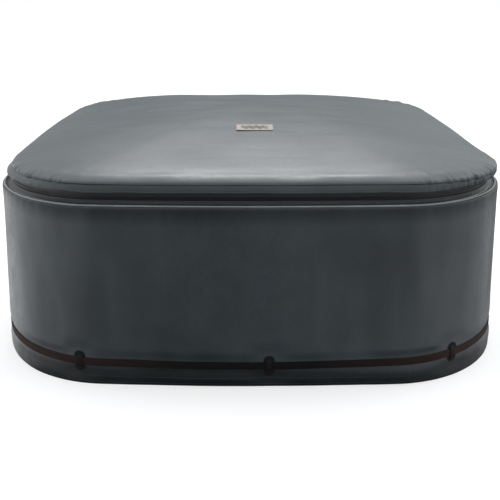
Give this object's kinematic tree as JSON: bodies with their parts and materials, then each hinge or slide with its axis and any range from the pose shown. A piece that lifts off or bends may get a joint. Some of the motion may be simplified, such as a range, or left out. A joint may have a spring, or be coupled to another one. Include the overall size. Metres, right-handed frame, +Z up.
{
  "type": "spa cover",
  "caption": "Fitted fabric cover for a square inflatable spa: tall skirt with a belt near the hem, and a domed lid that zips onto the rim and folds back.",
  "frame": {"origin": "on the ground under the middle of the cover", "axes": "+X to the cover's right seen from above with the front towards -Y, -Y out of the front, +Z up"},
  "size_m": [2.1852, 2.1889, 0.9319],
  "materials": {
    "skirt_cloth": "satin laminated cloth, dark slate",
    "lid_cloth": "satin laminated cloth, slate grey",
    "trim_cloth": "plain woven cloth, charcoal",
    "foam": "closed-cell foam sheet, off-white",
    "foil": "reflective laminated film, silver",
    "welt": "cloth-covered cord, light slate",
    "tape": "woven tape, black",
    "zip_teeth": "moulded, satin black",
    "zip_metal": "plated, satin",
    "webbing": "flat woven webbing, brown-black",
    "buckle_plastic": "moulded, fine texture, black",
    "badge": "soft moulded badge, warm grey",
    "loop_cloth": "woven tape, charcoal"
  },
  "bodies": {
    "skirt": {"skirt_front": "skirt_cloth", "skirt_rear": "skirt_cloth", "skirt_foam_front": "foam", "skirt_foam_rear": "foam", "skirt_liner_front": "foil", "skirt_liner_rear": "foil", "hem_facing": "trim_cloth", "side_seam_tapes": "trim_cloth", "rim_welt": "welt", "hinge_strip": "trim_cloth", "zip_lower_tape": "tape", "zip_lower_teeth": "zip_teeth", "zip_end_stops": "zip_metal", "zip_guard": "trim_cloth", "belt_webbing": "webbing", "strap_keeper": "loop_cloth", "buckle_socket": "buckle_plastic", "window_binding": "trim_cloth", "window_loop_tape": "tape", "flap_header": "trim_cloth", "belt_loop_1": "loop_cloth", "belt_loop_2": "loop_cloth", "belt_loop_3": "loop_cloth", "belt_loop_4": "loop_cloth", "belt_loop_5": "loop_cloth", "belt_loop_6": "loop_cloth", "belt_loop_7": "loop_cloth", "belt_loop_8": "loop_cloth", "belt_loop_9": "loop_cloth", "belt_loop_10": "loop_cloth"},
    "lid": {"lid_panel": "lid_cloth", "lid_foam": "foam", "lid_edge_foam": "foam", "lid_liner": "foil", "lid_band": "trim_cloth", "weather_flap": "skirt_cloth", "zip_upper_tape": "tape", "zip_upper_teeth": "zip_teeth", "lid_badge": "badge"},
    "zip_slider": {"zip_slider": "zip_metal"},
    "zip_pull": {"zip_pull": "zip_metal"},
    "belt_plug": {"buckle_plug": "buckle_plastic", "belt_tail": "webbing"},
    "arm_upper": {"buckle_arm_upper": "buckle_plastic"},
    "arm_lower": {"buckle_arm_lower": "buckle_plastic"},
    "window_flap": {"hose_flap": "skirt_cloth", "flap_hook_tape": "tape", "flap_pull_tab": "webbing"}
  },
  "joints": [
    {"name": "lid_fold", "type": "hinge", "parent": "skirt", "child": "lid", "pos_m": [0, 1.0235, 0.7585], "axis": [-1, 0, 0], "range_deg": [0, 110]},
    {"name": "slider_run", "type": "hinge", "parent": "skirt", "child": "zip_slider", "pos_m": [-10.015, 0, 0.748], "axis": [0, 0, -1], "range_deg": [0, 5.1]},
    {"name": "pull_flip", "type": "hinge", "parent": "zip_slider", "child": "zip_pull", "pos_m": [1.01707, 0.50004, 0.748], "axis": [0, 0, -1], "range_deg": [0, 150]},
    {"name": "buckle_unclip", "type": "slide", "parent": "skirt", "child": "belt_plug", "axis": [0.9992, 0.0392, 0], "range_m": [0, 0.045]},
    {"name": "arm_press_upper", "type": "hinge", "parent": "belt_plug", "child": "arm_upper", "pos_m": [-0.43563, 1.08769, 0.10932], "axis": [0.0391, -0.9985, -0.0391], "range_deg": [0, 7], "stiffness_Nm_per_rad": 0.15},
    {"name": "arm_press_lower", "type": "hinge", "parent": "belt_plug", "child": "arm_lower", "pos_m": [-0.43567, 1.08862, 0.08534], "axis": [-0.0391, 0.9985, 0.0391], "range_deg": [0, 7], "stiffness_Nm_per_rad": 0.15},
    {"name": "flap_lift", "type": "hinge", "parent": "skirt", "child": "window_flap", "pos_m": [0.28978, 1.07638, 0.3975], "axis": [0.9997, -0.0261, 0], "range_deg": [0, 150]}
  ]
}
